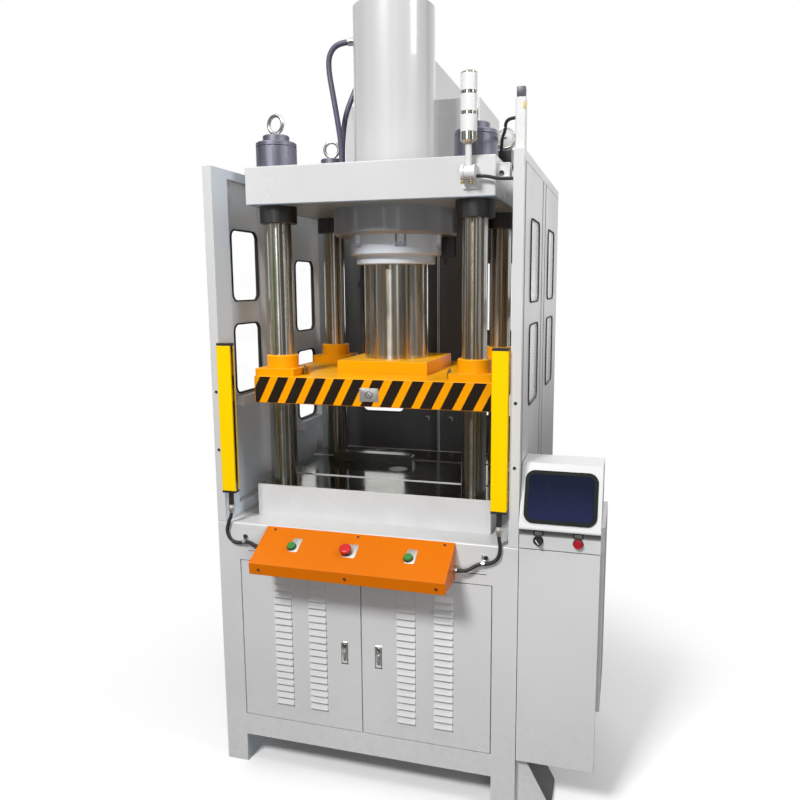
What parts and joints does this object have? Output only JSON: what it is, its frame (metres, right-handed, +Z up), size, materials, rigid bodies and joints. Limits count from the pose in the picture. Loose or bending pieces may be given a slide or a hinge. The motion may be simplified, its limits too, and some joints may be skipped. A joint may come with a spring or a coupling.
{
  "type": "hydraulic press",
  "caption": "Four-column hydraulic press on a louvred base cabinet, with side guards, light curtains, a two-hand control box, an operator cabinet, a rear oil tank and a top cylinder.",
  "frame": {"origin": "middle of the machine's whole footprint (its bounding box seen from above), on the floor under its feet", "axes": "+Z up, +X the operator's right, -Y towards the operator (the front)"},
  "size_m": [1.318, 1.229, 2.682],
  "materials": {
    "painted_frame": "satin light grey-white paint",
    "painted_plate": "satin light grey-white paint",
    "machined_steel": "ground steel, lightly oiled",
    "chrome": "polished hard chrome",
    "dark_steel": "blackened steel",
    "bolt_steel": "bright zinc",
    "orange_slide": "gloss amber-orange paint",
    "orange_box": "satin orange paint",
    "black_band": "black tape",
    "bronze": "bronze",
    "black_rubber": "black rubber",
    "hose": "bluish black hose",
    "yellow_housing": "gloss yellow",
    "black_plastic": "black plastic",
    "lens_dark": "dark red window",
    "green_cap": "green cap",
    "red_cap": "red cap",
    "screen": "dark screen",
    "window": "clear pane in a black rubber ring",
    "lamp_lens": "translucent lens",
    "lamp_metal": "satin metal",
    "motor_paint": "dark machine paint",
    "zinc": "bright zinc plate",
    "gauge": "brushed case and painted block"
  },
  "bodies": {
    "press_frame": {"base_frame": "painted_frame", "deck_plate": "painted_plate", "bolster": "machined_steel", "rear_stop": "machined_steel", "columns": "chrome", "column_collars": "dark_steel", "column_nuts": "dark_steel", "eyebolts": "zinc", "crown": "painted_plate", "cylinder_barrel": "painted_plate", "gland_flange": "painted_plate", "gland_bolts": "bolt_steel", "hydraulic_blocks": "dark_steel", "pressure_gauge": "gauge", "oil_tank": "painted_plate", "long_hose": "hose", "short_hose": "hose", "hose_fittings": "zinc", "left_guard": "painted_frame", "right_guard": "painted_frame", "rear_rails": "painted_frame", "side_windows": "window", "curtain_housings": "yellow_housing", "curtain_caps": "black_plastic", "curtain_lenses": "lens_dark", "curtain_cables": "black_rubber", "cable_fixings": "zinc", "control_box": "orange_box", "button_bezels": "black_plastic", "cabinet_body": "painted_frame", "hmi_head": "painted_frame", "hmi_bezel": "black_plastic", "hmi_screen": "screen", "lamp_foot": "black_plastic", "mast": "lamp_metal", "signal_wires": "black_rubber", "pump_set": "motor_paint"},
    "moving_slide": {"ram": "chrome", "slide": "orange_slide", "ram_plate": "orange_slide", "guide_bushes": "orange_slide", "stroke_rod": "chrome", "hazard_stripes": "black_band"},
    "left_door_body": {"left_door": "painted_frame"},
    "right_door_body": {"right_door": "painted_frame"},
    "left_latch_body": {"left_latch": "zinc"},
    "right_latch_body": {"right_latch": "zinc"},
    "cabinet_door_body": {"cabinet_door": "painted_frame"},
    "rear_left_door_body": {"rear_left_door": "painted_frame", "rear_left_windows": "window"},
    "rear_right_door_body": {"rear_right_door": "painted_frame", "rear_right_windows": "window"},
    "left_button_body": {"left_button": "green_cap"},
    "right_button_body": {"right_button": "green_cap"},
    "emergency_stop_body": {"emergency_stop": "red_cap"},
    "mode_selector_body": {"mode_selector": "black_plastic"},
    "red_button_body": {"red_button": "red_cap"},
    "signal_lamp": {"lamp_pole": "lamp_metal", "lamp_trim": "lamp_metal", "lamp_lenses": "lamp_lens"}
  },
  "joints": [
    {"name": "slide_travel", "type": "slide", "parent": "press_frame", "child": "moving_slide", "axis": [0, 0, 1], "range_m": [-0.25, 0.15]},
    {"name": "left_door_hinge", "type": "hinge", "parent": "press_frame", "child": "left_door_body", "pos_m": [-0.5645, -0.4625, 0.477], "axis": [0, 0, -1], "range_deg": [0, 100]},
    {"name": "right_door_hinge", "type": "hinge", "parent": "press_frame", "child": "right_door_body", "pos_m": [0.3085, -0.4625, 0.477], "axis": [0, 0, 1], "range_deg": [0, 100]},
    {"name": "left_latch_hinge", "type": "hinge", "parent": "left_door_body", "child": "left_latch_body", "pos_m": [-0.189, -0.465, 0.5104], "axis": [-1, 0, 0], "range_deg": [0, 60]},
    {"name": "right_latch_hinge", "type": "hinge", "parent": "right_door_body", "child": "right_latch_body", "pos_m": [-0.067, -0.465, 0.5104], "axis": [-1, 0, 0], "range_deg": [0, 60]},
    {"name": "cabinet_door_hinge", "type": "hinge", "parent": "press_frame", "child": "cabinet_door_body", "pos_m": [0.637, -0.4605, 0.54], "axis": [0, 0, 1], "range_deg": [0, 100]},
    {"name": "rear_left_door_hinge", "type": "hinge", "parent": "press_frame", "child": "rear_left_door_body", "pos_m": [-0.613, 0.6035, 1.5], "axis": [0, 0, 1], "range_deg": [0, 100]},
    {"name": "rear_right_door_hinge", "type": "hinge", "parent": "press_frame", "child": "rear_right_door_body", "pos_m": [0.357, 0.6035, 1.5], "axis": [0, 0, -1], "range_deg": [0, 100]},
    {"name": "left_button_press", "type": "slide", "parent": "press_frame", "child": "left_button_body", "axis": [0, 0.4831, -0.8756], "range_m": [0, 0.004], "stiffness_N_per_m": 800, "springref_m": -0.001},
    {"name": "right_button_press", "type": "slide", "parent": "press_frame", "child": "right_button_body", "axis": [0, 0.4831, -0.8756], "range_m": [0, 0.004], "stiffness_N_per_m": 800, "springref_m": -0.001},
    {"name": "emergency_stop_press", "type": "slide", "parent": "press_frame", "child": "emergency_stop_body", "axis": [0, 0.4831, -0.8756], "range_m": [0, 0.005], "stiffness_N_per_m": 1500, "springref_m": -0.001},
    {"name": "red_button_press", "type": "slide", "parent": "press_frame", "child": "red_button_body", "axis": [0, 1, 0], "range_m": [0, 0.004], "stiffness_N_per_m": 800, "springref_m": -0.001},
    {"name": "mode_selector_turn", "type": "hinge", "parent": "press_frame", "child": "mode_selector_body", "pos_m": [0.46, -0.4695, 0.933], "axis": [0, 1, 0], "range_deg": [0, 80]},
    {"name": "signal_lamp_fold", "type": "hinge", "parent": "press_frame", "child": "signal_lamp", "pos_m": [0.22, -0.4025, 2.054], "axis": [1, 0, 0], "range_deg": [0, 90]}
  ]
}
